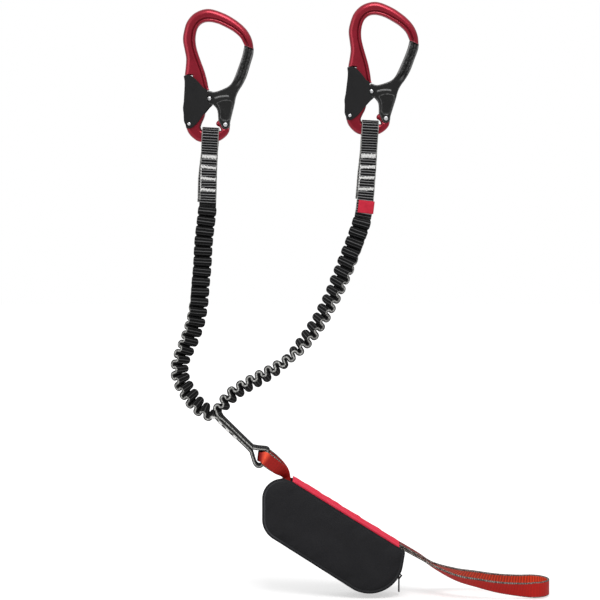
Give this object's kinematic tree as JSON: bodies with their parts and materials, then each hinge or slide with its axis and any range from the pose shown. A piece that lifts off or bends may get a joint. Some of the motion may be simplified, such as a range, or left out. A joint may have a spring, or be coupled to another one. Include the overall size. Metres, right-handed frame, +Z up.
{
  "type": "via ferrata lanyard",
  "caption": "Y-shaped via ferrata lanyard: palm-lock carabiners on rippled elastic webbing arms joined to a zipped absorber pouch with a harness loop.",
  "frame": {"origin": "the hanging point: the inner top of the left carabiner's basket, in the middle of its thickness", "axes": "+Z up along the hanging lanyard, +X to the viewer's right towards the second carabiner and the harness loop, +Y away from the viewer through the thickness"},
  "size_m": [0.3585, 0.0482, 0.5578],
  "materials": {
    "anodised_red": "anodised satin",
    "gate_grey": "dark anodised satin",
    "lever_black": "black matt coat",
    "steel": "bright",
    "arm_webbing": "black elastic tubular webbing",
    "tag_red": "woven tag",
    "red_webbing": "woven webbing",
    "pouch_fabric": "softshell",
    "band_red": "stretch woven",
    "zip_black": "satin",
    "zip_metal": "black painted"
  },
  "bodies": {
    "lanyard": {"arm_webbing": "arm_webbing", "arm_tag": "tag_red", "connecting_loop": "red_webbing", "absorber_webbing": "red_webbing", "pouch_front": "pouch_fabric", "pouch_back": "pouch_fabric", "pouch_top_band": "band_red", "pouch_side_band": "pouch_fabric", "zip_chain": "zip_black", "harness_loop": "red_webbing"},
    "slider": {"zip_slider": "zip_metal"},
    "pull": {"zip_pull": "zip_black"},
    "left_carabiner": {"left_frame": "anodised_red", "left_gate_hinge_rivet": "steel", "left_lever_pivot_rivet": "steel"},
    "left_gate_body": {"left_gate": "gate_grey", "left_lock_pin": "steel"},
    "left_lever_body": {"left_palm_lever": "lever_black"},
    "right_carabiner": {"right_frame": "anodised_red", "right_gate_hinge_rivet": "steel", "right_lever_pivot_rivet": "steel"},
    "right_gate_body": {"right_gate": "gate_grey", "right_lock_pin": "steel"},
    "right_lever_body": {"right_palm_lever": "lever_black"}
  },
  "joints": [
    {"name": "left_eye_swing", "type": "hinge", "parent": "lanyard", "child": "left_carabiner", "pos_m": [0.0015, 0, -0.10642], "axis": [0.9998, 0, -0.0174], "range_deg": [-45, 45]},
    {"name": "left_gate_hinge", "type": "hinge", "parent": "left_carabiner", "child": "left_gate_body", "pos_m": [0.01569, 0, -0.09546], "axis": [0, -1, 0], "range_deg": [0, 21], "stiffness_Nm_per_rad": 0.8, "springref_deg": -17.19},
    {"name": "left_lever_pivot", "type": "hinge", "parent": "left_carabiner", "child": "left_lever_body", "pos_m": [-0.01801, 0, -0.09477], "axis": [0, 1, 0], "range_deg": [0, 7], "stiffness_Nm_per_rad": 0.6, "springref_deg": -11.46},
    {"name": "right_eye_swing", "type": "hinge", "parent": "lanyard", "child": "right_carabiner", "pos_m": [0.15037, 0, -0.09977], "axis": [0.9971, 0, -0.0767], "range_deg": [-45, 45]},
    {"name": "right_gate_hinge", "type": "hinge", "parent": "right_carabiner", "child": "right_gate_body", "pos_m": [0.16519, 0, -0.08968], "axis": [0, -1, 0], "range_deg": [0, 21], "stiffness_Nm_per_rad": 0.8, "springref_deg": -17.19},
    {"name": "right_lever_pivot", "type": "hinge", "parent": "right_carabiner", "child": "right_lever_body", "pos_m": [0.1316, 0, -0.08699], "axis": [0, 1, 0], "range_deg": [0, 7], "stiffness_Nm_per_rad": 0.6, "springref_deg": -11.46},
    {"name": "slider_run", "type": "hinge", "parent": "lanyard", "child": "slider", "pos_m": [0.14981, 0, -0.50025], "axis": [0, 1, 0], "range_deg": [0, 75]},
    {"name": "pull_swing", "type": "hinge", "parent": "slider", "child": "pull", "pos_m": [0.17902, 0, -0.52213], "axis": [0, 1, 0], "range_deg": [-50, 35]}
  ]
}
